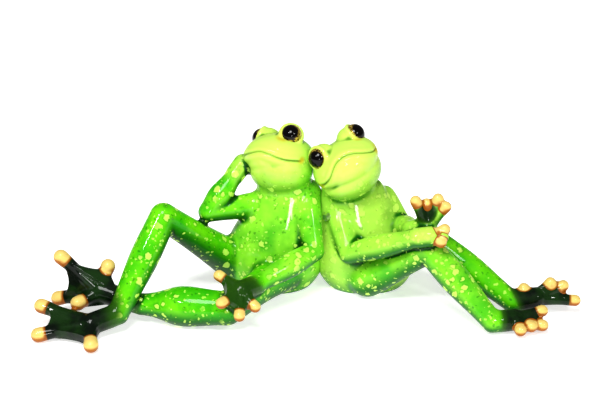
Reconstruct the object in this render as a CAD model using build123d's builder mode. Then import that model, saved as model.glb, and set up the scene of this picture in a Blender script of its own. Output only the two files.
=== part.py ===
from build123d import *
from math import cos, radians, sin
import os

# Two frogs sit side by side and lean their heads together. The one on the left lounges with a knee
# up, the one on the right sits with both knees bent. Every body part is a casting of its own, pinned
# with steel dowels and glued. X runs along the pair, Y away from the viewer, Z up from the floor.

# Fits: glue line between castings, play of a dowel in its hole
glue_gap = 0.15
pin_clearance = 0.1

# Torsos
seat_spacing = 44.0
torso_height = 52.0
belly_half_width = 24.0
belly_half_depth = 18.0
lounger_lean = 7.5
sitter_lean = -6.5

# Heads
head_half_length = 17.0
head_half_width = 16.0
head_half_height = 11.0
throat_half_length = 14.6
throat_half_width = 15.0
throat_half_height = 11.5
brow_radius = 6.2
eye_radius = 4.8
lounger_neck_length = 12.9
sitter_neck_length = 14.2

# Limbs
hip_radius = 9.4
thigh_radius = 8.0
knee_radius = 6.4
calf_radius = 6.8
flat_knee_radius = 7.8
flat_calf_radius = 8.8
ankle_radius = 5.0
shoulder_radius = 6.2
elbow_radius = 4.8
forearm_radius = 5.7
wrist_radius = 4.2

# Digits, their webs and the dowels
palm_radius = 4.6
sole_radius = 5.0
finger_radius = 2.4
fingertip_radius = 2.6
lounger_toe_radius = 2.9
lounger_toe_tip_radius = 3.4
sitter_toe_radius = 2.5
sitter_toe_tip_radius = 2.7
finger_length = 12.0
toe_length = 22.0
limb_pin_radius = 1.6
limb_pin_length = 14.0
shoulder_pin_length = 5.6
wrist_pin_radius = 1.0
wrist_pin_length = 7.0
flank_pin_spacing = 9.0

# Limb lengths and headings: turn about Z from +X, rise above the floor, in degrees
raised_thigh_length = 57.0
raised_thigh_turn = 216.0
raised_thigh_rise = 42.0
raised_shin_length = 48.5
raised_shin_turn = 231.0
raised_shin_rise = -49.5
flat_thigh_length = 47.0
flat_thigh_turn = 233.0
flat_thigh_rise = -2.0
flat_shin_length = 40.0
flat_shin_turn = 171.0
flat_shin_rise = -1.8
cheek_arm_length = 26.0
cheek_arm_turn = 198.0
cheek_arm_rise = -1.0
cheek_forearm_length = 20.5
cheek_forearm_turn = 32.0
cheek_forearm_rise = 47.0
knee_arm_length = 22.5
knee_arm_turn = 284.0
knee_arm_rise = -54.0
knee_forearm_length = 32.0
knee_forearm_turn = 217.0
knee_forearm_rise = -12.0
near_thigh_length = 37.5
near_thigh_turn = 332.0
near_thigh_rise = 35.0
near_shin_length = 43.5
near_shin_turn = 322.5
near_shin_rise = -36.0
far_thigh_length = 37.0
far_thigh_turn = 324.0
far_thigh_rise = 23.0
far_shin_length = 45.0
far_shin_turn = 328.0
far_shin_rise = -26.0
near_arm_length = 20.5
near_arm_turn = 290.0
near_arm_rise = -43.0
near_forearm_length = 35.5
near_forearm_turn = 336.0
near_forearm_rise = 24.0
far_arm_length = 16.0
far_arm_turn = 335.0
far_arm_rise = -50.0
far_forearm_length = 22.0
far_forearm_turn = 277.0
far_forearm_rise = 20.0

# Head headings
lounger_neck_turn = 159.0
lounger_neck_rise = 70.0
lounger_face_turn = 218.0
lounger_face_rise = 22.0
lounger_face_roll = 22.0
sitter_neck_turn = 237.0
sitter_neck_rise = 60.0
sitter_face_turn = 287.0
sitter_face_rise = 22.0
sitter_face_roll = 26.0
eye_turn = 58.0
eye_rise = 20.0

# Hands and feet: length and heading of the palm from the wrist or ankle, then every digit
raised_sole_length = 13.0
raised_foot_turn = 205.0
raised_foot_rise = -9.0
raised_toe_turns = (159.0, 190.0, 277.0)
raised_toe_rises = (10.0, -7.8, -13.6)
raised_toe_length_shares = (1.14, 1.07, 0.62)
flat_sole_length = 19.0
flat_foot_turn = 172.0
flat_foot_rise = 16.0
flat_toe_turns = (45.0, 177.0, 172.0, 215.0)
flat_toe_rises = (66.0, 45.0, -14.0, -12.0)
flat_toe_length_shares = (0.55, 1.1, 0.95, 0.55)
near_sole_length = 10.0
near_foot_turn = 16.0
near_foot_rise = -2.0
near_toe_turns = (287.0, 325.0, 344.0, 10.0)
near_toe_rises = (-10.0, -4.0, -4.0, 14.0)
near_toe_length_shares = (0.36, 0.41, 0.6, 0.62)
far_sole_length = 10.5
far_foot_turn = 6.0
far_foot_rise = 8.0
far_toe_turns = (158.0, 18.0, 9.0, 0.0)
far_toe_rises = (35.0, 42.0, 22.0, -4.0)
far_toe_length_shares = (0.3, 0.45, 0.64, 0.84)
cheek_palm_length = 7.0
cheek_hand_turn = 35.0
cheek_hand_rise = 45.0
cheek_finger_turns = (95.0, 70.0, 48.0)
cheek_finger_rises = (-12.0, -4.0, -14.0)
cheek_finger_length_shares = (0.75, 0.85, 0.75)
knee_palm_length = 11.0
knee_hand_turn = 224.0
knee_hand_rise = 2.0
knee_finger_turns = (158.0, 230.0, 268.0, 317.0)
knee_finger_rises = (27.0, -5.0, -33.0, -30.0)
knee_finger_length_shares = (1.0, 1.08, 1.08, 0.85)
near_palm_length = 6.0
near_hand_turn = 350.0
near_hand_rise = 12.0
near_finger_turns = (10.0, 345.0, 325.0)
near_finger_rises = (24.0, 5.0, -12.0)
near_finger_length_shares = (0.62, 0.5, 0.5)
far_palm_length = 8.6
far_hand_turn = 332.0
far_hand_rise = 25.0
far_finger_turns = (180.0, 104.0, 12.0, 353.0)
far_finger_rises = (66.0, 79.0, 71.0, 52.0)
far_finger_length_shares = (1.16, 0.89, 1.18, 1.09)

# Torso stations from the seat up: height, lean, width and depth as shares of the torso's sizes
torso_height_shares = (0.0, 0.17, 0.40, 0.65, 0.85, 1.0)
torso_lean_shares = (0.0, 0.05, 0.25, 0.60, 0.90, 1.0)
torso_width_shares = (0.76, 0.97, 1.0, 0.84, 0.70, 0.54)
torso_depth_shares = (0.76, 0.97, 1.0, 0.82, 0.62, 0.46)

# Places on the torso: sideways share of the belly's half width, backward share of its half depth
# and share of the torso's height
raised_hip_shares = (-0.62, 0.06, 0.145)
flat_hip_shares = (0.33, -0.40, 0.22)
cheek_shoulder_shares = (-0.21, 0.0, 0.79)
knee_shoulder_shares = (0.67, -0.33, 0.84)
near_hip_shares = (0.02, -0.77, 0.185)
far_hip_shares = (0.18, 0.42, 0.24)
near_shoulder_shares = (-0.56, -0.33, 0.75)
far_shoulder_shares = (0.33, 0.22, 0.81)

# Places in the head, as shares of its half length, half width and half height
throat_place_shares = (-0.08, 0.0, -0.5)
brow_place_shares = (0.05, 0.46, 0.74)
eye_stand_share = 0.55

# Height of the flank dowels as a share of the torso's height
flank_height_share = 0.4

# Where along a limb and a lying shin the fullest girth lies, where a digit's waist lies, where along the
# palm the webs fan out, how far they reach along their digits and how hollow their free edge is
full_share = 0.4
flat_full_share = 0.58
waist_share = 0.72
web_root_share = 0.5
web_reach_share = 0.94
web_hollow_share = 0.26

# Thickness of a web and of a digit's root as shares of the digit's radius
web_thick_share = 1.8
knuckle_share = 1.35


def heading(turn, rise):
    """Unit direction from a turn about Z and a rise above the floor."""
    level = cos(radians(rise))
    return Vector(level * cos(radians(turn)), level * sin(radians(turn)), sin(radians(rise)))


def spindle(start, end, shares, radii, grow=0):
    """Round limb from start to end: a smooth profile through the radii, with round ends."""
    length = (end - start).length
    frame = Plane(start, z_dir=end - start)
    stations = [(radius + grow, share * length) for share, radius in zip(shares, radii)]
    first, last = stations[0], stations[-1]
    bottom = (0, first[1] - first[0])
    top = (0, last[1] + last[0])
    with BuildPart() as limb:
        with BuildSketch(Plane.XZ):
            with BuildLine():
                RadiusArc(bottom, first, -first[0])
                Spline(*stations, tangents=((0, 1), (0, 1)))
                RadiusArc(last, top, -last[0])
                Line(top, bottom)
            make_face()
        revolve(axis=Axis.Z)
    return frame.location * limb.part


def ellipsoid(frame, place, half_sizes, grow=0):
    """Ball stretched to three half sizes, at a place in a frame."""
    length, width, height = (size + grow for size in half_sizes)
    with BuildPart() as ball:
        Sphere(length)
        scale(by=(1, width / length, height / length))
    return frame.location * Pos(place) * ball.part


def ball(place, radius):
    """Plain ball."""
    with BuildPart() as sphere:
        with Locations(place):
            Sphere(radius)
    return sphere.part


def dowel(place, direction, radius, length):
    """Round pin centred on a place."""
    with BuildPart(Plane(place, z_dir=direction)) as pin:
        Cylinder(radius, length)
    return pin.part


def torso(seat, lean, grow=0):
    """Pear-shaped body from a flat seat up to the neck."""
    with BuildPart() as body:
        for height, shift, width, depth in zip(
            torso_height_shares, torso_lean_shares, torso_width_shares, torso_depth_shares
        ):
            level = height * (torso_height + 2 * grow) - grow
            with BuildSketch(Plane((seat.X + shift * lean, seat.Y, level))):
                Ellipse(width * belly_half_width + grow, depth * belly_half_depth + grow)
        loft()
    return [body.part]


def on_torso(seat, shares):
    """Place in a torso from its three shares."""
    return seat + Vector(
        shares[0] * belly_half_width, shares[1] * belly_half_depth, shares[2] * torso_height
    )


def face_frame(place, turn, rise, roll):
    """Frame of a head: X out of the snout, Y to the frog's left, Z out of the crown."""
    snout = heading(turn, rise)
    crown = heading(turn, rise + 90).rotate(Axis((0, 0, 0), snout), roll)
    return Plane(place, x_dir=snout, z_dir=crown)


def brow_places(frame):
    """Places of the two brows, the frog's left one first."""
    along, aside, above = brow_place_shares
    return [
        frame.from_local_coords(
            Vector(along * head_half_length, side * aside * head_half_width, above * head_half_height)
        )
        for side in (1, -1)
    ]


def eye_places(frame):
    """Places of the two eyeballs, which stand out of the brows."""
    gazes = [
        frame.from_local_coords(heading(side * eye_turn, eye_rise)) - frame.origin for side in (1, -1)
    ]
    return [
        brow + gaze * (eye_stand_share * brow_radius) for brow, gaze in zip(brow_places(frame), gazes)
    ]


def head(frame, grow=0):
    """Broad flat skull, throat sac and two brows."""
    throat_place = (
        throat_place_shares[0] * head_half_length,
        throat_place_shares[1] * head_half_width,
        throat_place_shares[2] * head_half_height,
    )
    skull = ellipsoid(frame, (0, 0, 0), (head_half_length, head_half_width, head_half_height), grow)
    throat = ellipsoid(
        frame, throat_place, (throat_half_length, throat_half_width, throat_half_height), grow
    )
    brows = [ball(place, brow_radius + grow) for place in brow_places(frame)]
    return [skull, throat, *brows]


def limb(root, joint, tip, upper, lower, swell, grow=0):
    """Bent limb: an upper and a lower spindle that share the ball of the joint."""
    first = spindle(root, joint, (0, full_share, 1), upper, grow)
    second = spindle(joint, tip, (0, swell, 1), (upper[-1], *lower), grow)
    return [first, second]


def leg(hip, knee, ankle, bend, calf, swell, grow=0):
    """Hind leg of a frog, with its own knee and calf."""
    upper = (hip_radius, thigh_radius, bend)
    return limb(hip, knee, ankle, upper, (calf, ankle_radius), swell, grow)


def arm(shoulder, elbow, wrist, grow=0):
    """Fore leg of a frog."""
    upper = (shoulder_radius, forearm_radius, elbow_radius)
    return limb(shoulder, elbow, wrist, upper, (forearm_radius, wrist_radius), full_share, grow)


def web(root, first, second, thickness):
    """Skin between two neighbouring digits, with a hollow free edge."""
    frame = Plane(root, x_dir=first - root, z_dir=(first - root).cross(second - root))
    near = frame.to_local_coords(first)
    far = frame.to_local_coords(second)
    hollow = (near + far) / 2 * (1 - web_hollow_share)
    with BuildPart() as skin:
        with BuildSketch(frame):
            with BuildLine():
                Line((0, 0), (near.X, near.Y))
                Bezier((near.X, near.Y), (hollow.X, hollow.Y), (far.X, far.Y))
                Line((far.X, far.Y), (0, 0))
            make_face()
        extrude(amount=thickness / 2, both=True)
    return skin.part


def splayed(root, centre, root_radius, tips, digit_radius, tip_radius, grow=0):
    """Hand or foot: a palm from root to centre and ball-tipped digits with webs between them."""
    palm = spindle(root, centre, (0, full_share, 1), (root_radius,) * 3, grow)
    radii = (digit_radius * knuckle_share, digit_radius, tip_radius)
    digits = [spindle(centre, tip, (0, waist_share, 1), radii, grow) for tip in tips]
    knuckles = [centre + (tip - centre) * web_reach_share for tip in tips]
    fan = root + (centre - root) * web_root_share
    thickness = digit_radius * web_thick_share
    webs = [web(fan, first, second, thickness) for first, second in zip(knuckles, knuckles[1:])]
    return [palm, *digits, *webs]


def tips_from(centre, turns, rises, shares, length):
    """Places of the digit tips around a palm."""
    return [
        centre + heading(turn, rise) * (share * length) for turn, rise, share in zip(turns, rises, shares)
    ]


# Skeleton of the lounger
lounger_seat = Vector(-seat_spacing / 2, 0, 0)
raised_hip = on_torso(lounger_seat, raised_hip_shares)
raised_knee = raised_hip + heading(raised_thigh_turn, raised_thigh_rise) * raised_thigh_length
raised_ankle = raised_knee + heading(raised_shin_turn, raised_shin_rise) * raised_shin_length
flat_hip = on_torso(lounger_seat, flat_hip_shares)
flat_knee = flat_hip + heading(flat_thigh_turn, flat_thigh_rise) * flat_thigh_length
flat_ankle = flat_knee + heading(flat_shin_turn, flat_shin_rise) * flat_shin_length
cheek_shoulder = on_torso(lounger_seat, cheek_shoulder_shares)
cheek_elbow = cheek_shoulder + heading(cheek_arm_turn, cheek_arm_rise) * cheek_arm_length
cheek_wrist = cheek_elbow + heading(cheek_forearm_turn, cheek_forearm_rise) * cheek_forearm_length
knee_shoulder = on_torso(lounger_seat, knee_shoulder_shares)
knee_elbow = knee_shoulder + heading(knee_arm_turn, knee_arm_rise) * knee_arm_length
knee_wrist = knee_elbow + heading(knee_forearm_turn, knee_forearm_rise) * knee_forearm_length
lounger_neck = lounger_seat + Vector(lounger_lean, 0, torso_height)
lounger_crown = lounger_neck + heading(lounger_neck_turn, lounger_neck_rise) * lounger_neck_length
lounger_face = face_frame(lounger_crown, lounger_face_turn, lounger_face_rise, lounger_face_roll)

# Skeleton of the sitter
sitter_seat = Vector(seat_spacing / 2, 0, 0)
near_hip = on_torso(sitter_seat, near_hip_shares)
near_knee = near_hip + heading(near_thigh_turn, near_thigh_rise) * near_thigh_length
near_ankle = near_knee + heading(near_shin_turn, near_shin_rise) * near_shin_length
far_hip = on_torso(sitter_seat, far_hip_shares)
far_knee = far_hip + heading(far_thigh_turn, far_thigh_rise) * far_thigh_length
far_ankle = far_knee + heading(far_shin_turn, far_shin_rise) * far_shin_length
near_shoulder = on_torso(sitter_seat, near_shoulder_shares)
near_elbow = near_shoulder + heading(near_arm_turn, near_arm_rise) * near_arm_length
near_wrist = near_elbow + heading(near_forearm_turn, near_forearm_rise) * near_forearm_length
far_shoulder = on_torso(sitter_seat, far_shoulder_shares)
far_elbow = far_shoulder + heading(far_arm_turn, far_arm_rise) * far_arm_length
far_wrist = far_elbow + heading(far_forearm_turn, far_forearm_rise) * far_forearm_length
sitter_neck = sitter_seat + Vector(sitter_lean, 0, torso_height)
sitter_crown = sitter_neck + heading(sitter_neck_turn, sitter_neck_rise) * sitter_neck_length
sitter_face = face_frame(sitter_crown, sitter_face_turn, sitter_face_rise, sitter_face_roll)


def hand(wrist, length, turn, rise, turns, rises, shares, grow=0):
    """Fore foot with ball-tipped fingers."""
    centre = wrist + heading(turn, rise) * length
    tips = tips_from(centre, turns, rises, shares, finger_length)
    return splayed(wrist, centre, palm_radius, tips, finger_radius, fingertip_radius, grow)


def foot(ankle, length, turn, rise, turns, rises, shares, radii, grow=0):
    """Hind foot with ball-tipped toes."""
    centre = ankle + heading(turn, rise) * length
    tips = tips_from(centre, turns, rises, shares, toe_length)
    return splayed(ankle, centre, sole_radius, tips, *radii, grow)


def castings(grow=0):
    """Solids of every casting before it is seated, by name, in the order in which they are laid."""
    bent = (knee_radius, calf_radius, full_share)
    lying = (flat_knee_radius, flat_calf_radius, flat_full_share)
    large = (lounger_toe_radius, lounger_toe_tip_radius)
    small = (sitter_toe_radius, sitter_toe_tip_radius)
    raised = (raised_sole_length, raised_foot_turn, raised_foot_rise, raised_toe_turns, raised_toe_rises)
    flat = (flat_sole_length, flat_foot_turn, flat_foot_rise, flat_toe_turns, flat_toe_rises)
    front = (near_sole_length, near_foot_turn, near_foot_rise, near_toe_turns, near_toe_rises)
    rear = (far_sole_length, far_foot_turn, far_foot_rise, far_toe_turns, far_toe_rises)
    cheek = (cheek_palm_length, cheek_hand_turn, cheek_hand_rise, cheek_finger_turns, cheek_finger_rises)
    lap = (knee_palm_length, knee_hand_turn, knee_hand_rise, knee_finger_turns, knee_finger_rises)
    near = (near_palm_length, near_hand_turn, near_hand_rise, near_finger_turns, near_finger_rises)
    far = (far_palm_length, far_hand_turn, far_hand_rise, far_finger_turns, far_finger_rises)
    return {
        "lounger_torso": torso(lounger_seat, lounger_lean, grow),
        "sitter_torso": torso(sitter_seat, sitter_lean, grow),
        "lounger_head": head(lounger_face, grow),
        "sitter_head": head(sitter_face, grow),
        "lounger_raised_leg": leg(raised_hip, raised_knee, raised_ankle, *bent, grow),
        "lounger_flat_leg": leg(flat_hip, flat_knee, flat_ankle, *lying, grow),
        "sitter_near_leg": leg(near_hip, near_knee, near_ankle, *bent, grow),
        "sitter_far_leg": leg(far_hip, far_knee, far_ankle, *bent, grow),
        "lounger_raised_foot": foot(raised_ankle, *raised, raised_toe_length_shares, large, grow),
        "lounger_flat_foot": foot(flat_ankle, *flat, flat_toe_length_shares, large, grow),
        "sitter_near_foot": foot(near_ankle, *front, near_toe_length_shares, small, grow),
        "sitter_far_foot": foot(far_ankle, *rear, far_toe_length_shares, small, grow),
        "lounger_cheek_arm": arm(cheek_shoulder, cheek_elbow, cheek_wrist, grow),
        "lounger_knee_arm": arm(knee_shoulder, knee_elbow, knee_wrist, grow),
        "sitter_near_arm": arm(near_shoulder, near_elbow, near_wrist, grow),
        "sitter_far_arm": arm(far_shoulder, far_elbow, far_wrist, grow),
        "lounger_cheek_hand": hand(cheek_wrist, *cheek, cheek_finger_length_shares, grow),
        "lounger_knee_hand": hand(knee_wrist, *lap, knee_finger_length_shares, grow),
        "sitter_near_hand": hand(near_wrist, *near, near_finger_length_shares, grow),
        "sitter_far_hand": hand(far_wrist, *far, far_finger_length_shares, grow),
    }


def meets(first, second):
    """True where the bounding boxes of two shapes overlap."""
    one, other = first.bounding_box(), second.bounding_box()
    return all(
        low < high
        for low, high in (
            (one.min.X, other.max.X),
            (other.min.X, one.max.X),
            (one.min.Y, other.max.Y),
            (other.min.Y, one.max.Y),
            (one.min.Z, other.max.Z),
            (other.min.Z, one.max.Z),
        )
    )


def way_out(shape, place, direction):
    """Place where a line from inside a shape leaves it."""
    crossings = shape.find_intersection_points(Axis(place, direction))
    return max((point for point, normal in crossings), key=lambda point: (point - place).dot(direction))


def outward(neck, shoulder):
    """Level direction from a torso's middle through a shoulder."""
    return Vector(shoulder.X - neck.X, shoulder.Y - neck.Y, 0).normalized()


raw = castings()
grown = castings(glue_gap)

# Dowels: the casting that a joint grows from, the one that it carries, a place inside the first, the
# dowel's direction, radius and length
neck_pin = (limb_pin_radius, limb_pin_length)
arm_pin = (limb_pin_radius, shoulder_pin_length)
hand_pin = (wrist_pin_radius, wrist_pin_length)
lounger_joints = (
    ("torso", "head", lounger_neck, lounger_crown - lounger_neck, neck_pin),
    ("torso", "raised_leg", raised_hip, raised_knee - raised_hip, neck_pin),
    ("torso", "flat_leg", flat_hip, flat_knee - flat_hip, neck_pin),
    ("torso", "cheek_arm", cheek_shoulder, outward(lounger_neck, cheek_shoulder), arm_pin),
    ("torso", "knee_arm", knee_shoulder, knee_elbow - knee_shoulder, arm_pin),
    ("raised_leg", "raised_foot", raised_ankle, heading(raised_foot_turn, raised_foot_rise), hand_pin),
    ("flat_leg", "flat_foot", flat_ankle, heading(flat_foot_turn, flat_foot_rise), hand_pin),
    ("cheek_arm", "cheek_hand", cheek_wrist, heading(cheek_hand_turn, cheek_hand_rise), hand_pin),
    ("knee_arm", "knee_hand", knee_wrist, heading(knee_hand_turn, knee_hand_rise), hand_pin),
)
sitter_joints = (
    ("torso", "head", sitter_neck, sitter_crown - sitter_neck, neck_pin),
    ("torso", "near_leg", near_hip, near_knee - near_hip, neck_pin),
    ("torso", "far_leg", far_hip, far_knee - far_hip, neck_pin),
    ("torso", "near_arm", near_shoulder, outward(sitter_neck, near_shoulder), arm_pin),
    ("torso", "far_arm", far_shoulder, outward(sitter_neck, far_shoulder), arm_pin),
    ("near_leg", "near_foot", near_ankle, heading(near_foot_turn, near_foot_rise), hand_pin),
    ("far_leg", "far_foot", far_ankle, heading(far_foot_turn, far_foot_rise), hand_pin),
    ("near_arm", "near_hand", near_wrist, heading(near_hand_turn, near_hand_rise), hand_pin),
    ("far_arm", "far_hand", far_wrist, heading(far_hand_turn, far_hand_rise), hand_pin),
)

pins = {}
holes = {name: [] for name in raw}
for frog, joints in (("lounger", lounger_joints), ("sitter", sitter_joints)):
    pins[f"{frog}_dowels"] = []
    for carrier, carried, inside, direction, (radius, length) in joints:
        seat = way_out(raw[f"{frog}_{carrier}"][-1], inside, direction.normalized())
        pins[f"{frog}_dowels"].append(dowel(seat, direction, radius, length))
        hole = dowel(seat, direction, radius + pin_clearance, length + 2 * pin_clearance)
        holes[f"{frog}_{carrier}"].append(hole)
        holes[f"{frog}_{carried}"].append(hole)

# Two dowels across the flank where the bellies meet
flank = Vector(1, 0, 0)
flank_middle = lounger_seat + Vector(0, 0, flank_height_share * torso_height)
flank_seat = way_out(raw["lounger_torso"][0], flank_middle, flank)
flank_places = [flank_seat + Vector(0, side * flank_pin_spacing / 2, 0) for side in (1, -1)]
pins["flank_dowels"] = [dowel(place, flank, limb_pin_radius, limb_pin_length) for place in flank_places]
flank_holes = [
    dowel(place, flank, limb_pin_radius + pin_clearance, limb_pin_length + 2 * pin_clearance)
    for place in flank_places
]
holes["lounger_torso"] += flank_holes
holes["sitter_torso"] += flank_holes

# Eyes and their sockets
eyes = {}
for frog, face in (("lounger", lounger_face), ("sitter", sitter_face)):
    for side, place in zip(("left", "right"), eye_places(face)):
        eyes[f"{frog}_{side}_eye"] = ball(place, eye_radius)
        holes[f"{frog}_head"].append(ball(place, eye_radius + glue_gap))

# Each casting is hollowed to the ones laid before it, drilled, and ground flat where it meets the floor
pieces = {}
names = list(raw)
for index, name in enumerate(names):
    with BuildPart() as piece:
        add(raw[name])
    whole = piece.part
    earlier = [solid for other in names[:index] for solid in grown[other] if meets(whole, solid)]
    with BuildPart() as piece:
        add(whole)
        add(earlier + holes[name], mode=Mode.SUBTRACT)
        split(bisect_by=Plane.XY, keep=Keep.TOP)
    solids = piece.part.solids().sort_by(SortBy.VOLUME)
    pieces[name] = solids[-1]
pieces.update(eyes)
for name, group in pins.items():
    pieces[name] = Compound(group)

# The origin is the middle of the footprint, on the floor
boxes = [piece.bounding_box() for piece in pieces.values()]
middle_x = (min(box.min.X for box in boxes) + max(box.max.X for box in boxes)) / 2
middle_y = (min(box.min.Y for box in boxes) + max(box.max.Y for box in boxes)) / 2
os.makedirs("parts", exist_ok=True)
for name, piece in pieces.items():
    placed = piece.moved(Location((-middle_x, -middle_y, 0)))
    placed.label = name
    export_step(placed, f"parts/{name}.step")
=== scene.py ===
# %% [markdown]
# # Two frogs leaning on each other, in painted and lacquered resin
# The figurine is a pair of hand-painted castings: one frog lounges with a knee up and a hand at its
# cheek, the other sits beside it with its legs stretched out. The CAD model holds the plain castings, one
# node for each torso, head, arm, hand, leg, foot and eye. In this lesson the castings get a modelled skin,
# with soft joints, lids and mouths, and then their paint. We start by loading the CAD frame and keeping its
# box, because the dressed frogs may not grow out of it.

# %% Load the castings
from math import cos, radians, sin

import bpy
import numpy as np
from mathutils import Matrix, Vector
from mathutils.bvhtree import BVHTree


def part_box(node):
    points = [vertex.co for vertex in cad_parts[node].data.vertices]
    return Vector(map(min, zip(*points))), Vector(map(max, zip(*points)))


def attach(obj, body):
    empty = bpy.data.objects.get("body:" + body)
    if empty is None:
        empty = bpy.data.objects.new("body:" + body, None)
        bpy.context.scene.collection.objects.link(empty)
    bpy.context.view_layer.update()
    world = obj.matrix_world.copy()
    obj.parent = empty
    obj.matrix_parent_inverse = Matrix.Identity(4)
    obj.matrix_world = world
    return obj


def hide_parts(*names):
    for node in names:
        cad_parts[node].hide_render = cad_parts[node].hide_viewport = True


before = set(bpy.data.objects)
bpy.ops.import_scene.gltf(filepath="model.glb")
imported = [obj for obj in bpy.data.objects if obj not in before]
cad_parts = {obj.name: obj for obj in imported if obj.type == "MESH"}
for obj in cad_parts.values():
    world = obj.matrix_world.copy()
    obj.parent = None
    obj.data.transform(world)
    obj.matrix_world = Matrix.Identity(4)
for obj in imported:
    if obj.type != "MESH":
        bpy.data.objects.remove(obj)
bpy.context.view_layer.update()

# %% [markdown]
# ## The camera
# The picture looks at the frogs from the front and a little from above, with a long lens, so the near feet
# are hardly larger than the far ones. A camera could be placed by hand in the viewport. Here it hangs on a
# line that rises from the middle of the two torsos, so it follows the castings if they change.

# %% Place the camera
def middle(node):
    low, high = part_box(node)
    return (low + high) / 2


view_rise = radians(25)
view_distance = 0.7
seat = (middle("lounger_torso") + middle("sitter_torso")) / 2
look_at = Vector((seat.x - 0.0075, seat.y, 0.0409))
camera_data = bpy.data.cameras.new("photo_camera")
camera_data.sensor_width = 36
camera_data.lens = 87.7
camera = bpy.data.objects.new("photo_camera", camera_data)
camera.location = look_at + Vector((0, -cos(view_rise), sin(view_rise))) * view_distance
camera.rotation_euler = (radians(90) - view_rise, 0, 0)
bpy.context.collection.objects.link(camera)
bpy.context.scene.camera = camera
print("camera at", [round(v, 3) for v in camera.location])

# %% [markdown]
# ## The studio
# The frogs stand on a plain white sweep that runs out of the picture. One broad lamp above gives the soft
# light, and small bright lamps give the lacquer its sharp white glints: on a glossy coat the shape of every
# lamp is seen in its reflection, so small lamps make small glints. The world stays dim, because a bright
# one would be mirrored everywhere and wash the dark green feet out. The Standard view transform keeps the
# paint as saturated as it is mixed, and a touch of contrast gives the picture its crisp catalogue look.

# %% Floor, lamps and world
def plain_finish(name, colour, roughness):
    finish = bpy.data.materials.new(name)
    finish.use_nodes = True
    surface = finish.node_tree.nodes["Principled BSDF"]
    surface.inputs["Base Color"].default_value = (*colour, 1)
    surface.inputs["Roughness"].default_value = roughness
    return finish


bpy.ops.object.select_all(action="DESELECT")
bpy.ops.mesh.primitive_plane_add(size=8)
floor = bpy.context.object
floor.name = "white_sweep"
floor.data.materials.append(plain_finish("white_paper", (0.9, 0.9, 0.9), 0.9))
floor_surface = floor.data.materials[0].node_tree.nodes["Principled BSDF"]
floor_surface.inputs["Emission Color"].default_value = (1, 1, 1, 1)
floor_surface.inputs["Emission Strength"].default_value = 0.52
floor_surface.inputs["Specular IOR Level"].default_value = 0


def lamp(name, place, aim, size, power):
    data = bpy.data.lights.new(name, "AREA")
    data.shape = "DISK"
    data.size = size
    data.energy = power
    thing = bpy.data.objects.new(name, data)
    thing.location = place
    thing.rotation_euler = (Vector(aim) - Vector(place)).to_track_quat("-Z", "Y").to_euler()
    bpy.context.collection.objects.link(thing)
    return thing


lamp("soft_top", (-0.12, -0.45, 0.85), (0, 0, 0.03), 0.38, 5.5)
lamp("glint_left", (-0.45, -0.55, 0.75), (0, 0, 0.03), 0.12, 2.1)
lamp("glint_right", (0.5, -0.6, 0.6), (0, 0, 0.03), 0.12, 1.5)
lamp("glint_low", (0.1, -0.9, 0.25), (0, 0, 0.03), 0.10, 0.9)
world = bpy.data.worlds.new("studio_world")
world.use_nodes = True
world.node_tree.nodes["Background"].inputs["Color"].default_value = (1, 1, 1, 1)
world.node_tree.nodes["Background"].inputs["Strength"].default_value = 0.16
bpy.context.scene.world = world
bpy.context.scene.view_settings.view_transform = "Standard"
bpy.context.scene.view_settings.look = "Medium High Contrast"
print("lamps:", len(bpy.data.lights))

# %% [markdown]
# ## Which way each face looks
# Lids and mouths are easier to model in the head's own directions than in the room's. The two eyes of a
# frog give the line across its head, and the turn and rise of its snout give the rest.

# %% Head directions
frogs = {
    "lounger": ["torso", "head", "cheek_arm", "knee_arm", "cheek_hand", "knee_hand",
                "raised_leg", "flat_leg", "raised_foot", "flat_foot"],
    "sitter": ["torso", "head", "near_arm", "far_arm", "near_hand", "far_hand",
               "near_leg", "far_leg", "near_foot", "far_foot"],
}
snout_turns = {"lounger": (218, 22), "sitter": (287, 22)}
eye_ahead, eye_above = 0.00255, 0.00931
eye_radius = 0.0048
socket_turn, socket_rise = 58, 20
pupil_turn, pupil_rise = 38, 12


def heading(turn, rise):
    t, r = radians(turn), radians(rise)
    return Vector((cos(r) * cos(t), cos(r) * sin(t), sin(r)))


def head_axes(frog):
    left_eye, right_eye = middle(frog + "_left_eye"), middle(frog + "_right_eye")
    across = (left_eye - right_eye).normalized()
    snout = heading(*snout_turns[frog])
    snout = (snout - across * snout.dot(across)).normalized()
    crown = snout.cross(across)
    centre = (left_eye + right_eye) / 2 - snout * eye_ahead - crown * eye_above
    return Matrix((snout, across, crown)), centre


def in_head(frog, points):
    axes, centre = head_axes(frog)
    return (points - np.array(centre)) @ np.array(axes).T * 1000


def eye_axis(frog, side, turn, rise):
    axes, centre = head_axes(frog)
    gaze = heading(turn if side == "left" else -turn, rise)
    return middle(frog + "_" + side + "_eye"), axes.transposed() @ gaze


for frog in frogs:
    axes, centre = head_axes(frog)
    print(frog, "head at", [round(v * 1000, 1) for v in centre], "snout", [round(v, 2) for v in axes[0]])

# %% [markdown]
# ## Gathering the clay
# A sculptor would press the limbs onto the torso and work the seams over with a thumb. The same can be
# done here: copies of the castings are fattened a little so that they run into each other, joined into one
# object, and remeshed into a single skin. A boolean union would join them too, but it leaves hard creases.
# Each eye also gets a ring of clay, which becomes its lid.

# %% Copies of the castings, and the lid rings
fatten = 0.0007
lid_radius, lid_thickness, lid_ahead = 0.0050, 0.00095, 0.0005


def pick(*things):
    bpy.ops.object.select_all(action="DESELECT")
    for thing in things:
        thing.select_set(True)
    bpy.context.view_layer.objects.active = things[0]


def apply_modifier(thing, kind, **values):
    pick(thing)
    modifier = thing.modifiers.new(kind.lower(), kind)
    for key, value in values.items():
        setattr(modifier, key, value)
    bpy.ops.object.modifier_apply(modifier=modifier.name)


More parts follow.
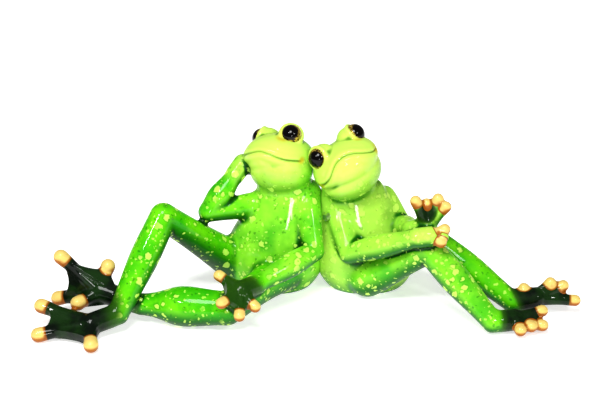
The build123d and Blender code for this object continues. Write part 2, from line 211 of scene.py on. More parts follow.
def clay_copy(node):
    copy = bpy.data.objects.new(node + "_clay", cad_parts[node].data.copy())
    bpy.context.collection.objects.link(copy)
    return copy


def lid_ring(frog, side):
    eye, out = eye_axis(frog, side, socket_turn, socket_rise)
    bpy.ops.object.select_all(action="DESELECT")
    bpy.ops.mesh.primitive_torus_add(major_radius=lid_radius, minor_radius=lid_thickness,
                                     major_segments=64, minor_segments=16)
    ring = bpy.context.object
    facing = out.to_track_quat("Z", "Y").to_matrix().to_4x4()
    ring.data.transform(Matrix.Translation(eye + out * lid_ahead) @ facing)
    return ring


def gather(frog):
    clay = [clay_copy(frog + "_" + part) for part in frogs[frog]]
    clay += [lid_ring(frog, side) for side in ("left", "right")]
    pick(*clay)
    bpy.ops.object.join()
    skin = bpy.context.object
    skin.name = frog + "_skin"
    bpy.ops.object.mode_set(mode="EDIT")
    bpy.ops.mesh.select_all(action="SELECT")
    bpy.ops.mesh.remove_doubles(threshold=1e-6)
    bpy.ops.object.mode_set(mode="OBJECT")
    apply_modifier(skin, "DISPLACE", strength=fatten, mid_level=0, direction="NORMAL")
    return skin


skins = {frog: gather(frog) for frog in frogs}
print("clay faces:", {frog: len(skin.data.polygons) for frog, skin in skins.items()})

# %% [markdown]
# ## One skin for each frog
# The voxel remesh lays an even skin over the gathered clay and drops everything inside it. Shrinking it
# back by the amount it was fattened leaves small fillets where limbs meet, as wet clay has, and a smooth
# pass takes the steps of the voxel grid away.

# %% Remesh, shrink back and smooth
voxel = 0.00036


def lay_skin(skin):
    apply_modifier(skin, "REMESH", mode="VOXEL", voxel_size=voxel)
    apply_modifier(skin, "SMOOTH", factor=0.5, iterations=4)
    apply_modifier(skin, "DISPLACE", strength=-fatten, mid_level=0, direction="NORMAL")
    apply_modifier(skin, "SMOOTH", factor=0.5, iterations=8)
    bpy.ops.object.mode_set(mode="EDIT")
    bpy.ops.mesh.select_all(action="SELECT")
    bpy.ops.mesh.normals_make_consistent(inside=False)
    bpy.ops.object.mode_set(mode="OBJECT")
    bpy.ops.object.shade_smooth()


for frog, skin in skins.items():
    lay_skin(skin)
    print(frog, "skin:", len(skin.data.polygons), "faces")

# %% [markdown]
# ## Reading and moving the skin as numbers
# A skin of this many points is best sculpted as numbers: every point and normal goes into an array, a
# formula says how far each point moves, and the array is written back. The neighbour average below is the
# same as Blender's smooth brush, with a weight for how hard the brush is pressed. It also spreads paint
# softly over the skin.

# %% Arrays, and a neighbour average
def skin_points(mesh):
    points = np.empty(len(mesh.vertices) * 3)
    mesh.vertices.foreach_get("co", points)
    return points.reshape(-1, 3)


def skin_normals(mesh):
    normals = np.empty(len(mesh.vertices) * 3, np.float32)
    mesh.vertex_normals.foreach_get("vector", normals)
    return normals.reshape(-1, 3).astype(float)


def move_skin(mesh, points):
    mesh.vertices.foreach_set("co", points.ravel())
    mesh.update()


def edge_ends(mesh):
    ends = np.empty(len(mesh.edges) * 2, np.int32)
    mesh.edges.foreach_get("vertices", ends)
    return ends[0::2], ends[1::2]


def spread(mesh, values, rounds, press=1.0):
    a, b = edge_ends(mesh)
    n = len(values)
    count = np.maximum(np.bincount(a, minlength=n) + np.bincount(b, minlength=n), 1)
    columns = [column for column in values.reshape(n, -1).astype(float).T]
    for _ in range(rounds):
        means = [(np.bincount(a, c[b], n) + np.bincount(b, c[a], n)) / count for c in columns]
        columns = [c + 0.5 * press * (m - c) for c, m in zip(columns, means)]
    return np.stack(columns, axis=1).reshape(values.shape)


def ease(values, low, high):
    t = np.clip((values - low) / (high - low), 0, 1)
    return t * t * (3 - 2 * t)


print("points:", {frog: len(skin.data.vertices) for frog, skin in skins.items()})

# %% [markdown]
# ## Which casting each face belongs to
# Paint and seams follow the castings, so each face of the skin is given to the casting whose surface lies
# nearest. A BVH tree answers that question quickly. Along a seam a few stray faces may go to the wrong
# casting. They are found as small islands, and each is handed over to the casting around it.

# %% Nearest casting
def casting_tree(frog):
    points, faces, owner = [], [], []
    for index, part in enumerate(frogs[frog]):
        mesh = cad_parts[frog + "_" + part].data
        first = len(points)
        points += [v.co.copy() for v in mesh.vertices]
        faces += [[first + i for i in p.vertices] for p in mesh.polygons]
        owner += [index] * len(mesh.polygons)
    return BVHTree.FromPolygons(points, faces), owner


def nearest_casting(frog, skin):
    tree, owner = casting_tree(frog)
    return np.array([owner[tree.find_nearest(p.center)[2]] for p in skin.data.polygons])


owners = {frog: nearest_casting(frog, skin) for frog, skin in skins.items()}
print("faces sorted:", {frog: len(labels) for frog, labels in owners.items()})

# %% Hand stray islands over
def neighbour_faces(mesh):
    edges = np.empty(len(mesh.loops), np.int32)
    mesh.loops.foreach_get("edge_index", edges)
    sizes = np.empty(len(mesh.polygons), np.int32)
    mesh.polygons.foreach_get("loop_total", sizes)
    order = np.argsort(edges, kind="stable")
    edges, faces = edges[order], np.repeat(np.arange(len(sizes)), sizes)[order]
    same = edges[1:] == edges[:-1]
    return faces[:-1][same], faces[1:][same]


def islands(labels, a, b):
    alike = labels[a] == labels[b]
    a, b = a[alike], b[alike]
    root = np.arange(len(labels))
    while (root[a] != root[b]).any():
        np.minimum.at(root, np.maximum(root[a], root[b]), np.minimum(root[a], root[b]))
        while (root[root] != root).any():
            root = root[root]
    return root


def hand_over(labels, a, b):
    root = islands(labels, a, b)
    sizes = np.bincount(root, minlength=len(labels))
    stray = np.ones(len(labels), bool)
    for label in np.unique(labels):
        mine = root[labels == label]
        stray[root == mine[np.argmax(sizes[mine])]] = False
    moved = True
    while moved:
        moved = False
        for one, other in ((a, b), (b, a)):
            touch = stray[one] & ~stray[other]
            labels[one[touch]] = labels[other[touch]]
            stray[one[touch]] = False
            moved = moved or bool(touch.any())
    return labels


for frog, skin in skins.items():
    owners[frog] = hand_over(owners[frog], *neighbour_faces(skin.data))
    print(frog, dict(zip(frogs[frog], np.bincount(owners[frog], minlength=len(frogs[frog])).tolist())))

# %% Carry the owners from faces to points
def point_owners(frog, skin):
    mesh = skin.data
    corner_points = np.empty(len(mesh.loops), np.int32)
    mesh.loops.foreach_get("vertex_index", corner_points)
    sizes = np.empty(len(mesh.polygons), np.int32)
    mesh.polygons.foreach_get("loop_total", sizes)
    result = np.zeros(len(mesh.vertices), np.int32)
    result[corner_points] = np.repeat(owners[frog], sizes)
    return result


point_owner = {frog: point_owners(frog, skin) for frog, skin in skins.items()}


def part_mask(frog, *parts):
    return np.isin(point_owner[frog], [frogs[frog].index(part) for part in parts]).astype(float)


print("head points:", {frog: int(part_mask(frog, "head").sum()) for frog in frogs})

# %% [markdown]
# ## Thumbing the seams over
# Where a limb grows out of the body, the clay is smoothed until the seam is gone. Where a hand only rests
# on a leg, the crease has to stay. So the smooth brush is pressed only along the seams of joints.

# %% Smooth the joints
limb_of = {"cheek_hand": "cheek_arm", "knee_hand": "knee_arm", "raised_foot": "raised_leg",
           "flat_foot": "flat_leg", "near_hand": "near_arm", "far_hand": "far_arm",
           "near_foot": "near_leg", "far_foot": "far_leg"}
seam_rounds, seam_press, thumb_rounds = 60, 7, 80


def smooth_joints(frog, skin):
    mesh, names = skin.data, frogs[frog]
    grown = np.zeros((len(names), len(names)), bool)
    for index, part in enumerate(names):
        root = names.index(limb_of.get(part, "torso"))
        grown[index, root] = grown[root, index] = index != root
    a, b = edge_ends(mesh)
    joint = grown[point_owner[frog][a], point_owner[frog][b]]
    seam = np.zeros(len(mesh.vertices))
    seam[a[joint]] = seam[b[joint]] = 1
    press = np.clip(spread(mesh, seam, seam_rounds) * seam_press, 0, 1)
    move_skin(mesh, spread(mesh, skin_points(mesh), thumb_rounds, press))
    return int(joint.sum())


for frog, skin in skins.items():
    print(frog, "seam edges smoothed:", smooth_joints(frog, skin))

# %% [markdown]
# ## The mouths
# A frog's mouth is one long line round the snout, with an upper lip that overhangs it and a soft lower lip.
# The line's height changes with the angle round the head: the sitter's mouth is a steep frown, the
# lounger's dips and then runs out level to the corner. A knife cut would follow one straight plane, so the
# mouth is pushed in by a formula of that angle instead.

# %% Carve the mouths
mouth_angles = {"lounger": [-40, -6, 16, 31, 46, 61, 80, 92],
                "sitter": [-92, -73, -62, -50, -39, -28, -10, 7, 24, 40, 53, 68]}
mouth_heights = {"lounger": [-0.6, -0.1, 0.6, -0.8, -2.6, -3.5, -3.3, -3.0],
                 "sitter": [-2.2, -2.0, -1.4, 0.2, 3.2, 5.2, 5.8, 4.6, 1.6, -0.4, -0.7, 0.2]}
head_length, head_width = 17, 16
corner_fade, mouth_softness, line_width = 10, 13, 0.36
upper_lip, groove = (0.40, 1.5, 1.2), (-0.65, 0, 0.42)
lower_lip, chin_fold = (0.30, -1.8, 1.2), (-0.30, -4.4, 1.3)
mouth_lines = {}


def carve_mouth(frog, skin):
    mesh = skin.data
    points, normals = skin_points(mesh), skin_normals(mesh)
    x, y, z = in_head(frog, points).T
    angle = np.degrees(np.arctan2(y / head_width, x / head_length))
    steps = np.arange(-180, 181)
    line = np.interp(steps, mouth_angles[frog], mouth_heights[frog])
    brush = np.ones(mouth_softness) / mouth_softness
    line = np.convolve(np.pad(line, mouth_softness // 2, mode="edge"), brush, mode="valid")
    slope = np.gradient(line) / (np.pi / 180 * (head_length + head_width) / 2)
    above = (z - np.interp(angle, steps, line)) / np.sqrt(1 + np.interp(angle, steps, slope) ** 2)
    low, high = mouth_angles[frog][0], mouth_angles[frog][-1]
    ends = ease(angle, low, low + corner_fade) * (1 - ease(angle, high - corner_fade, high))
    here = part_mask(frog, "head") * ends * ease(np.hypot(x / head_length, y / head_width), 0.45, 0.7)
    push = sum(swell * np.exp(-((above - level) / width) ** 2)
               for swell, level, width in (upper_lip, groove, lower_lip, chin_fold))
    move_skin(mesh, points + normals * (push * here * 0.001)[:, None])
    mouth_lines[frog] = here * np.exp(-(above / line_width) ** 2)


for frog, skin in skins.items():
    carve_mouth(frog, skin)
    print(frog, "mouth points:", int((mouth_lines[frog] > 0.5).sum()))

# %% [markdown]
# ## Where the digits end
# Every finger and toe ends in a gilded ball. The balls are found on the castings themselves by a vote: each
# face steps back along its normal by the ball's radius and votes for the place where it arrives. All faces
# of a ball arrive at its centre, while those of webs and palms scatter, so the fullest spots are the balls.

# %% Find the ball tips
digit_counts = {"cheek_hand": 3, "knee_hand": 4, "raised_foot": 3, "flat_foot": 4,
                "near_hand": 3, "far_hand": 4, "near_foot": 4, "far_foot": 4}
ball_radii = {"lounger_raised_foot": 0.0034, "lounger_flat_foot": 0.0034, "sitter_near_foot": 0.0027,
              "sitter_far_foot": 0.0027}
fingertip_radius = 0.0026
vote_grid, largest_vote = 0.0005, 1e-6
ball_apart, wrist_gap = 0.003, 0.0004


def ball_radius(node):
    return ball_radii.get(node, fingertip_radius)


def wrist_place(frog, part):
    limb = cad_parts[frog + "_" + limb_of[part]].data
    tree = BVHTree.FromPolygons([v.co for v in limb.vertices], [list(p.vertices) for p in limb.polygons])
    points = skin_points(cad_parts[frog + "_" + part].data)
    gap = np.array([tree.find_nearest(Vector(point))[3] for point in points])
    return points[gap < gap.min() + wrist_gap].mean(axis=0)


def ball_tips(frog, part):
    node = frog + "_" + part
    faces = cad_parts[node].data.polygons
    votes = np.array([f.center - f.normal * ball_radius(node) for f in faces])
    weights = np.array([min(f.area, largest_vote) for f in faces])
    balls = []
    for _ in range(digit_counts[part]):
        cells, cell = np.unique(np.round(votes / vote_grid).astype(int), axis=0, return_inverse=True)
        centre = cells[np.argmax(np.bincount(cell.ravel(), weights))] * vote_grid
        for _ in range(4):
            near = np.linalg.norm(votes - centre, axis=1) < vote_grid * 1.4
            centre = np.average(votes[near], axis=0, weights=weights[near])
        balls.append(centre)
        left = np.linalg.norm(votes - centre, axis=1) > ball_apart
        votes, weights = votes[left], weights[left]
    return wrist_place(frog, part), balls


digits = {frog + "_" + part: ball_tips(frog, part)
          for frog in frogs for part in frogs[frog] if part in limb_of}
for node, (wrist, balls) in digits.items():
    print(node, "reach in mm:", [round(float(np.linalg.norm(c - wrist)) * 1000, 1) for c in balls])

# %% [markdown]
# ## The painter's masks
# The paint goes on from light to dark: a pale yellow-green on the faces, fresh green on the bodies,
# near-black green on hands and feet, and gold on the ball tips. Deep green in creases, on undersides and on
# backs is painted shade. Each of these is a mask, stored on the skin as an attribute that the paint reads
# later.

# %% Gold balls and dark hands and feet
dark_reach = {"raised_foot": (-12, 12), "flat_foot": (-7, 4), "near_foot": (-3, 7), "far_foot": (-5, 4),
              "knee_hand": (-5, 7)}
dark_share = {"knee_hand": 0.58}
ankle_reach = 0.045
palm_share, palm_fade, palm_dark = 0.7, (3.5, 7.5), 0.95


def end_masks(frog, points):
    gold, dark = np.zeros(len(points)), np.zeros(len(points))
    for part in frogs[frog]:
        if part not in limb_of:
            continue
        wrist, balls = digits[frog + "_" + part]
        mine = part_mask(frog, part) > 0.5
        for centre in balls:
            away = np.linalg.norm(points[mine] - centre, axis=1) / ball_radius(frog + "_" + part)
            gold[mine] = np.maximum(gold[mine], 1 - ease(away, 1.0, 1.6))
        if part in dark_reach:
            near = np.linalg.norm(points - wrist, axis=1) < ankle_reach
            both = part_mask(frog, part, limb_of[part]) * near > 0.5
            along = np.mean(balls, axis=0) - wrist
            ahead = (points[both] - wrist) @ (along / np.linalg.norm(along)) * 1000
            dark[both] = np.maximum(dark[both], dark_share.get(part, 1.0) * ease(ahead, *dark_reach[part]))
        elif part == "far_hand":
            palm = wrist * (1 - palm_share) + np.mean(balls, axis=0) * palm_share
            away = np.linalg.norm(points[mine] - palm, axis=1) * 1000
            dark[mine] = palm_dark * (1 - ease(away, *palm_fade))
    return gold, dark


masks = {}
for frog, skin in skins.items():
    gold, dark = end_masks(frog, skin_points(skin.data))
    masks[frog] = {"gold": gold, "dark": spread(skin.data, dark, 30)}
    print(frog, "gold points:", int((gold > 0.5).sum()), "dark points:", int((dark > 0.5).sum()))

# %% Pale faces, warm touches and lids
paleness = {"lounger": {"torso": 0.3, "cheek_arm": 0.15, "knee_arm": 0.25, "cheek_hand": 0.45,
                        "flat_leg": 0.05},
            "sitter": {"torso": 0.6, "near_arm": 0.46, "far_arm": 0.5, "near_hand": 0.6, "far_hand": 0.5,
                       "near_leg": 0.25}}
warm_places = {"lounger": [(7.4, 9.6, 7.2, 4.6), (0.5, 15.5, -2.6, 2.6)],
               "sitter": [(9.0, 12.5, -0.6, 4.0), (2.0, -15.0, -2.0, 3.0), (8.0, 9.0, 8.5, 3.5)]}


def face_masks(frog, mesh, points):
    head = part_mask(frog, "head")
    local = in_head(frog, points)
    pale = sum(part_mask(frog, part) * share for part, share in paleness[frog].items())
    # Painted shade: the paleness fades under the chin, so the underside of each head is greener.
    under_chin_shade = ease(-local[:, 2], 3, 13)
    pale = pale + head * (0.35 + 0.6 * ease(local[:, 0], -9, 6)) * (1 - 0.4 * under_chin_shade)
    warm = np.zeros(len(points))
    for *place, reach in warm_places[frog]:
        away = np.linalg.norm(local - np.array(place), axis=1) / reach
        warm = np.maximum(warm, head * (1 - ease(away, 0.2, 1.0)))
    lid = np.zeros(len(points))
    for side in ("left", "right"):
        eye, out = eye_axis(frog, side, socket_turn, socket_rise)
        ray = points - np.array(eye)
        along = ray @ np.array(out)
        around = np.linalg.norm(ray - along[:, None] * np.array(out), axis=1)
        away = np.hypot(around - lid_radius, along - lid_ahead) * 1000
        lid = np.maximum(lid, head * (1 - ease(away, 0.9, 1.7)))
    return {"pale": spread(mesh, pale, 240), "warm": warm, "lid": lid}


for frog, skin in skins.items():
    masks[frog].update(face_masks(frog, skin.data, skin_points(skin.data)))
    print(frog, "warm points:", int((masks[frog]["warm"] > 0.3).sum()))

# %% Shaded creases and undersides
deep_parts = {"lounger": {"raised_leg": 0.16, "flat_leg": 0.12}, "sitter": {"far_leg": 0.2}}


def shade_mask(frog, mesh, points):
    normals = skin_normals(mesh)
    # Painted shade: the green is darkened in hollows and valleys and on faces that look down or back, less
    # so on heads. The legs listed in deep_parts are darkened by a set amount as well.
    hollow = ((spread(mesh, points, 25) - points) * normals).sum(axis=1) * 1000
    valley = ((spread(mesh, points, 160) - points) * normals).sum(axis=1) * 1000
    head = part_mask(frog, "head")
    crease = np.clip(ease(hollow, 0.03, 0.25) * 0.7 + ease(valley, 0.05, 0.8) * 0.8, 0, 1)
    trunk = spread(mesh, part_mask(frog, "torso", "head"), 60)
    under = ease(-normals[:, 2], -0.55, 0.75) * (1 - trunk) + ease(-normals[:, 2], -0.05, 0.9) * trunk
    under = under * 0.8 + ease(normals[:, 1], 0.0, 0.9) * 0.3
    deep = sum((part_mask(frog, part) * amount for part, amount in deep_parts[frog].items()), 0 * head)
    shade = (crease * 0.9 + under) * (1 - 0.4 * head) + spread(mesh, deep, 60)
    return np.clip(spread(mesh, shade, 6), 0, 1)


for frog, skin in skins.items():
    masks[frog]["shade"] = shade_mask(frog, skin.data, skin_points(skin.data))
    masks[frog]["line"] = mouth_lines[frog]
    for name, values in masks[frog].items():
        layer = skin.data.attributes.new(name, "FLOAT", "POINT")
        layer.data.foreach_set("value", values.astype(np.float32))
    print(frog, "masks:", {name: round(float(values.mean()), 3) for name, values in masks[frog].items()})

# %% [markdown]
# ## Paint effects shared by every casting
# Three effects are used on every painted part, so each is a node group. One throws the drops: pale ones with
# dark rims, and small dark specks. One mixes the paint: it reads the masks, lays the greens over each other,
# takes in the drops and gilds the tips. The last is the skin's fine grain, which breaks the glints up.

# %% Helpers that wire nodes
def wire(tree, kind, values=None, links=None, **settings):
    node = tree.nodes.new(kind)
    for key, value in settings.items():
        setattr(node, key, value)
    for key, value in (values or {}).items():
        node.inputs[key].default_value = value
    for key, source in (links or {}).items():
        tree.links.new(source, node.inputs[key])
    return node


def mask(tree, name):
    return wire(tree, "ShaderNodeAttribute", attribute_name=name).outputs["Fac"]


def maths(tree, operation, first, second, clamp=False):
    node = wire(tree, "ShaderNodeMath", operation=operation, use_clamp=clamp)
    for socket, value in zip(node.inputs, (first, second)):
        if isinstance(value, (int, float)):
            socket.default_value = value
        else:
            tree.links.new(value, socket)
    return node.outputs["Value"]


def step_between(tree, value, low, high):
    node = wire(tree, "ShaderNodeMapRange", {"From Min": low, "From Max": high}, {"Value": value},
                interpolation_type="SMOOTHSTEP")
    return node.outputs["Result"]


def lay_over(tree, under, over, amount):
    node = wire(tree, "ShaderNodeMix", data_type="RGBA")
    for socket, value in ((node.inputs[6], under), (node.inputs[7], over), (node.inputs[0], amount)):
        if isinstance(value, tuple):
            socket.default_value = value
        else:
            tree.links.new(value, socket)
    return node.outputs[2]


def sRGB(red, green, blue):
    def channel(c):
        c = c / 255
        return c / 12.92 if c <= 0.04045 else ((c + 0.055) / 1.055) ** 2.4
    return (channel(red), channel(green), channel(blue), 1)


def new_group(name, inputs, outputs):
    group = bpy.data.node_groups.new(name, "ShaderNodeTree")
    for label, kind, value in inputs:
        group.interface.new_socket(label, in_out="INPUT", socket_type=kind).default_value = value
    for label, kind in outputs:
        group.interface.new_socket(label, in_out="OUTPUT", socket_type=kind)
    return group, group.nodes.new("NodeGroupInput"), group.nodes.new("NodeGroupOutput")


print("spring green in linear light:", [round(v, 3) for v in sRGB(116, 222, 12)])

# %% Drops of thrown paint
def drops(tree, place, scale, largest):
    cells = wire(tree, "ShaderNodeTexVoronoi", {"Scale": scale, "Randomness": 1.0}, {"Vector": place})
    share = wire(tree, "ShaderNodeSeparateColor", links={"Color": cells.outputs["Color"]}).outputs["Red"]
    size = maths(tree, "MULTIPLY", maths(tree, "POWER", share, 1.2), largest)
    outside = maths(tree, "SUBTRACT", cells.outputs["Distance"], size)
    drop = maths(tree, "SUBTRACT", 1.0, step_between(tree, outside, -0.05, 0.03))
    beyond = step_between(tree, outside, 0.03, 0.16)
    rim = maths(tree, "SUBTRACT", step_between(tree, share, 0.3, 0.5), beyond, clamp=True)
    return drop, rim


def moved(tree, place, offset):
    return wire(tree, "ShaderNodeVectorMath", {1: offset}, {0: place}, operation="ADD").outputs["Vector"]


large_drops, small_drops, deep_drops = 240.0, 470.0, 430.0
spatter, spatter_in, spatter_out = new_group(
    "thrown_drops", [("Large Drops", "NodeSocketFloat", large_drops)],
    [("Pale", "NodeSocketFloat"), ("Deep", "NodeSocketFloat")])
place = wire(spatter, "ShaderNodeTexCoord").outputs["Object"]
wobble = wire(spatter, "ShaderNodeTexNoise", {"Scale": 520.0, "Detail": 1.0}, {"Vector": place})
bent = wire(spatter, "ShaderNodeMix", {0: 0.0022}, {4: place, 5: wobble.outputs["Color"]},
            data_type="VECTOR").outputs[1]
patches = wire(spatter, "ShaderNodeTexNoise", {"Scale": 62.0, "Detail": 1.0}, {"Vector": place})
large, rim = drops(spatter, bent, large_drops, 0.46)
spatter.links.new(spatter_in.outputs["Large Drops"], spatter.nodes["Voronoi Texture"].inputs["Scale"])
crowd = step_between(spatter, patches.outputs["Fac"], 0.26, 0.44)
large = maths(spatter, "MULTIPLY", large, crowd)
rim = maths(spatter, "MULTIPLY", rim, crowd)
small = drops(spatter, moved(spatter, bent, (0.31, 0.17, 0.05)), small_drops, 0.40)[0]
deep = drops(spatter, moved(spatter, bent, (0.11, 0.43, 0.27)), deep_drops, 0.30)[0]
pale_drops = maths(spatter, "MAXIMUM", large, maths(spatter, "MULTIPLY", small, 0.7))
dark_drops = maths(spatter, "MAXIMUM", deep, maths(spatter, "MULTIPLY", rim, 0.6))
spatter.links.new(pale_drops, spatter_out.inputs["Pale"])
spatter.links.new(dark_drops, spatter_out.inputs["Deep"])
print("spatter nodes:", len(spatter.nodes))

# %% Colours on the palette
leaf_green, spring_green = sRGB(50, 178, 2), sRGB(116, 222, 12)
pale_green, drop_green, lid_green = sRGB(203, 242, 100), sRGB(204, 246, 104), sRGB(214, 242, 112)
# Painted shade: shade_green and crease_green darken creases, undersides and backs.
shade_green, crease_green, speck_green = sRGB(26, 118, 3), sRGB(8, 62, 4), sRGB(22, 112, 4)
warm_yellow, mouth_olive, ankle_olive = sRGB(206, 176, 26), sRGB(96, 140, 24), sRGB(48, 98, 10)
night_green, pond_green = sRGB(4, 17, 5), sRGB(20, 50, 11)
# The orange-brown third gold colour is the gold in painted shade, used on its shaded side.
gold_edge, gold_leaf, gold_in_shade = sRGB(150, 84, 16), sRGB(234, 204, 118), sRGB(178, 106, 28)
print("leaf green in linear light:", [round(v, 3) for v in leaf_green])

# %% Paint group
paint, paint_in, paint_out = new_group(
    "frog_paint", [("Drop Amount", "NodeSocketFloat", 0.8)],
    [("Color", "NodeSocketColor"), ("Gold", "NodeSocketFloat"), ("Relief", "NodeSocketFloat")])
place = wire(paint, "ShaderNodeTexCoord").outputs["Object"]
cloud = wire(paint, "ShaderNodeTexNoise", {"Scale": 75.0, "Detail": 3.0, "Roughness": 0.55},
             {"Vector": place})
cloudy = maths(paint, "SUBTRACT", cloud.outputs["Fac"], 0.5)
thrown = wire(paint, "ShaderNodeGroup", {"Large Drops": large_drops}, node_tree=spatter)
amount = paint_in.outputs["Drop Amount"]

green = lay_over(paint, leaf_green, spring_green, step_between(paint, cloud.outputs["Fac"], 0.3, 0.7))
pale = maths(paint, "ADD", mask(paint, "pale"), maths(paint, "MULTIPLY", cloudy, 0.45))
pale = step_between(paint, pale, 0.0, 1.0)
green = lay_over(paint, green, pale_green, pale)
# Painted shade: the shade mask lays shade green, and crease green where it is deepest, over the paint.
shade = maths(paint, "ADD", mask(paint, "shade"), maths(paint, "MULTIPLY", cloudy, 0.35))
green = lay_over(paint, green, shade_green, step_between(paint, shade, 0.06, 0.7))
green = lay_over(paint, green, crease_green, step_between(paint, shade, 0.5, 1.05))
bare = maths(paint, "SUBTRACT", 1.0, step_between(paint, mask(paint, "pale"), 0.55, 0.9))
amount = maths(paint, "MULTIPLY", amount, bare)
faint = maths(paint, "SUBTRACT", 0.75, maths(paint, "MULTIPLY", pale, 0.6))
specks = maths(paint, "MULTIPLY", thrown.outputs["Deep"], maths(paint, "MULTIPLY", amount, faint))
green = lay_over(paint, green, speck_green, specks)
spots = maths(paint, "MULTIPLY", thrown.outputs["Pale"], amount)
green = lay_over(paint, green, drop_green, spots)
green = lay_over(paint, green, warm_yellow, maths(paint, "MULTIPLY", mask(paint, "warm"), 0.8))
green = lay_over(paint, green, lid_green, maths(paint, "MULTIPLY", mask(paint, "lid"), 0.6))
green = lay_over(paint, green, mouth_olive, maths(paint, "MULTIPLY", mask(paint, "line"), 0.7))
dark = maths(paint, "ADD", mask(paint, "dark"), maths(paint, "MULTIPLY", cloudy, 0.5))
green = lay_over(paint, green, ankle_olive, step_between(paint, dark, 0.12, 0.5))
dark = step_between(paint, dark, 0.3, 0.85)
night = lay_over(paint, night_green, pond_green, step_between(paint, cloud.outputs["Fac"], 0.42, 0.62))
green = lay_over(paint, green, night, dark)
gilt = maths(paint, "ADD", mask(paint, "gold"), maths(paint, "MULTIPLY", cloudy, 0.3))
green = lay_over(paint, green, gold_edge, step_between(paint, gilt, 0.10, 0.40))
# Painted shade on the gold: where the shade mask is high, the gold thins towards its brown edge, and the
# gold that stays turns from light gold to a shaded orange-brown.
gold_shade_loss = maths(paint, "MULTIPLY", mask(paint, "shade"), 0.55)
gold = step_between(paint, maths(paint, "SUBTRACT", gilt, gold_shade_loss), 0.40, 0.90)
leaf = lay_over(paint, gold_leaf, gold_in_shade, step_between(paint, mask(paint, "shade"), 0.08, 0.5))
green = lay_over(paint, green, leaf, gold)
paint.links.new(green, paint_out.inputs["Color"])
paint.links.new(gold, paint_out.inputs["Gold"])
paint.links.new(spots, paint_out.inputs["Relief"])
print("paint nodes:", len(paint.nodes))

# %% Skin grain group
grain_scale = 420.0
grain, grain_in, grain_out = new_group(
    "lacquer_grain", [("Scale", "NodeSocketFloat", grain_scale)], [("Height", "NodeSocketFloat")])
place = wire(grain, "ShaderNodeTexCoord").outputs["Object"]
pits = wire(grain, "ShaderNodeTexNoise", {"Detail": 2.0, "Roughness": 0.5},
            {"Vector": place, "Scale": grain_in.outputs["Scale"]})
swell = wire(grain, "ShaderNodeTexNoise", {"Scale": 130.0, "Detail": 1.0}, {"Vector": place})
height = maths(grain, "ADD", pits.outputs["Fac"], maths(grain, "MULTIPLY", swell.outputs["Fac"], 1.2))
grain.links.new(height, grain_out.inputs["Height"])
print("grain nodes:", len(grain.nodes))

# %% [markdown]
# ## The two lacquers
# The bodies and the hands and feet carry the same paint under a clear coat; they are two materials only
# because the record lists two finishes. The coat is what makes the white glints, so it is smooth, while
# the paint under it is a little rough.

# %% Lacquer materials
def lacquer(name):
    finish = plain_finish(name, (0.2, 0.6, 0.05), 0.55)
    tree = finish.node_tree
    surface = tree.nodes["Principled BSDF"]
    coat = wire(tree, "ShaderNodeGroup", {"Drop Amount": 0.85}, node_tree=paint)
    skin_grain = wire(tree, "ShaderNodeGroup", {"Scale": grain_scale}, node_tree=grain)
    height = maths(tree, "ADD", skin_grain.outputs["Height"], coat.outputs["Relief"])
    bump = wire(tree, "ShaderNodeBump", {"Strength": 0.4, "Distance": 0.0004}, {"Height": height})
    tree.links.new(coat.outputs["Color"], surface.inputs["Base Color"])
    tree.links.new(maths(tree, "MULTIPLY", coat.outputs["Gold"], 0.1), surface.inputs["Metallic"])
    tree.links.new(bump.outputs["Normal"], surface.inputs["Normal"])
    surface.inputs["Specular IOR Level"].default_value = 0.08
    surface.inputs["Coat Weight"].default_value = 0.42
    surface.inputs["Coat Roughness"].default_value = 0.05
    return finish


lacquers = {name: lacquer(name) for name in ("green_lacquer", "dark_green_lacquer")}
dark_ends = ("knee_hand", "near_hand", "far_hand", "_foot")
print("lacquers:", list(lacquers))

# %% [markdown]
# ## Cutting the skin back into castings
# The skin is one mesh for each frog, but the figurine is an assembly, so the skin is now cut along the
# castings' seams and every open end is closed with a cap. The normals of the whole skin are kept on the
# parts, so that no seam shows in the lacquer.

# %% Separate, cap and name the castings
def cap(piece):
    pick(piece)
    bpy.ops.object.mode_set(mode="EDIT")
    bpy.ops.mesh.select_all(action="DESELECT")
    bpy.ops.mesh.select_mode(type="EDGE")
    bpy.ops.mesh.select_non_manifold(extend=False, use_wire=False, use_multi_face=False,
                                     use_non_contiguous=False, use_verts=False)
    bpy.ops.mesh.fill_holes(sides=0)
    bpy.ops.mesh.quads_convert_to_tris(quad_method="BEAUTY", ngon_method="BEAUTY")
    bpy.ops.object.mode_set(mode="OBJECT")


def keep_normals(piece):
    mesh = piece.data
    kept = np.empty(len(mesh.vertices) * 3, np.float32)
    mesh.attributes["skin_normal"].data.foreach_get("vector", kept)
    mesh.attributes.remove(mesh.attributes["skin_normal"])
    mesh.normals_split_custom_set_from_vertices([tuple(n) for n in kept.reshape(-1, 3)])


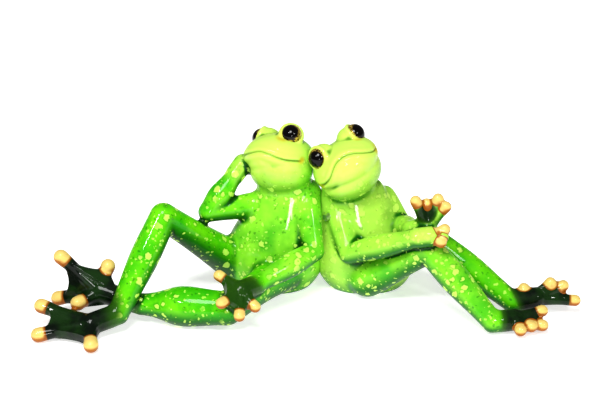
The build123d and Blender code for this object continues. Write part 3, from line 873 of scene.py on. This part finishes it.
def cut_castings(frog, skin):
    mesh = skin.data
    normals = skin_normals(mesh)
    layer = mesh.attributes.new("skin_normal", "FLOAT_VECTOR", "POINT")
    layer.data.foreach_set("vector", normals.astype(np.float32).ravel())
    mesh.materials.clear()
    for part in frogs[frog]:
        mesh.materials.append(bpy.data.materials.new("cut_" + frog + "_" + part))
    mesh.polygons.foreach_set("material_index", owners[frog].astype(np.int32))
    mesh.update()
    pick(skin)
    bpy.ops.object.mode_set(mode="EDIT")
    bpy.ops.mesh.select_all(action="SELECT")
    bpy.ops.mesh.separate(type="MATERIAL")
    bpy.ops.object.mode_set(mode="OBJECT")
    for piece in list(bpy.context.selected_objects):
        index = piece.data.polygons[0].material_index
        node = piece.data.materials[index].name.removeprefix("cut_")
        cap(piece)
        slot = "dark_green_lacquer" if node.endswith(dark_ends) else "green_lacquer"
        piece.data.materials.clear()
        piece.data.materials.append(lacquers[slot])
        piece.data.polygons.foreach_set("material_index", np.zeros(len(piece.data.polygons), np.int32))
        keep_normals(piece)
        piece.name = node + "_cast"
        piece.data.name = node + "_cast"
        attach(piece, "root")
        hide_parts(node)
        print(piece.name, len(piece.data.polygons), "faces")


for frog, skin in skins.items():
    cut_castings(frog, skin)

# %% [markdown]
# ## The eyes
# Each eye is a black glass-like ball with a ring of gold flecks round its pupil. One sphere is modelled and
# copied into the four sockets. The pupils look more to the front than the sockets do, so the angle from the
# pupil is stored on each copy, and the gold ring follows it.

# %% Eye material
def eye_finish():
    finish = plain_finish("eye_black", (0.004, 0.003, 0.003), 0.12)
    tree = finish.node_tree
    surface = tree.nodes["Principled BSDF"]
    place = wire(tree, "ShaderNodeTexCoord").outputs["Object"]
    flake = wire(tree, "ShaderNodeTexNoise", {"Scale": 1300.0, "Detail": 2.0}, {"Vector": place})
    ring = mask(tree, "ring")
    patch = maths(tree, "MULTIPLY", step_between(tree, ring, 0.50, 0.64),
                  step_between(tree, flake.outputs["Fac"], 0.46, 0.55))
    brown = lay_over(tree, sRGB(8, 5, 6), sRGB(60, 40, 12), step_between(tree, ring, 0.44, 0.7))
    tree.links.new(lay_over(tree, brown, sRGB(218, 190, 84), patch), surface.inputs["Base Color"])
    tree.links.new(maths(tree, "MULTIPLY", patch, 0.4), surface.inputs["Metallic"])
    surface.inputs["Specular IOR Level"].default_value = 0.1
    surface.inputs["Coat Weight"].default_value = 0.4
    surface.inputs["Coat Roughness"].default_value = 0.02
    return finish


eye_black = eye_finish()
print("eye material:", eye_black.name)

# %% Model one eye, then copy it to the four sockets
bpy.ops.object.select_all(action="DESELECT")
bpy.ops.mesh.primitive_uv_sphere_add(segments=64, ring_count=40, radius=eye_radius)
eye_model = bpy.context.object
bpy.ops.object.shade_smooth()
eye_model.data.materials.append(eye_black)
for frog in frogs:
    for side in ("left", "right"):
        centre, pupil = eye_axis(frog, side, pupil_turn, pupil_rise)
        eye = bpy.data.objects.new(frog + "_" + side + "_eyeball", eye_model.data.copy())
        bpy.context.collection.objects.link(eye)
        angle = np.degrees(np.arccos(np.clip(skin_points(eye.data) @ np.array(pupil) / eye_radius, -1, 1)))
        ring = eye.data.attributes.new("ring", "FLOAT", "POINT")
        ring.data.foreach_set("value", np.clip(angle / 90, 0, 1).astype(np.float32))
        eye.data.transform(Matrix.Translation(centre))
        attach(eye, "root")
        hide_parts(frog + "_" + side + "_eye")
        print(eye.name, "looks along", [round(v, 2) for v in pupil])
bpy.data.objects.remove(eye_model)

# %% [markdown]
# ## The steel dowels
# Short steel pins hold the castings together. They stay as the CAD made them and only get a finish, a
# drawn steel with faint streaks.

# %% Dowel finish
steel = plain_finish("drawn_steel", (0.55, 0.55, 0.56), 0.35)
streak = wire(steel.node_tree, "ShaderNodeTexNoise", {"Scale": 900.0, "Detail": 3.0},
              {"Vector": wire(steel.node_tree, "ShaderNodeTexCoord").outputs["Object"]})
steel_surface = steel.node_tree.nodes["Principled BSDF"]
steel_surface.inputs["Metallic"].default_value = 1.0
streaks = step_between(steel.node_tree, streak.outputs["Fac"], -0.4, 1.8)
steel.node_tree.links.new(streaks, steel_surface.inputs["Roughness"])
for node in ("lounger_dowels", "sitter_dowels", "flank_dowels"):
    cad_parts[node].data.materials.clear()
    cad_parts[node].data.materials.append(steel)
print("dowel groups finished")
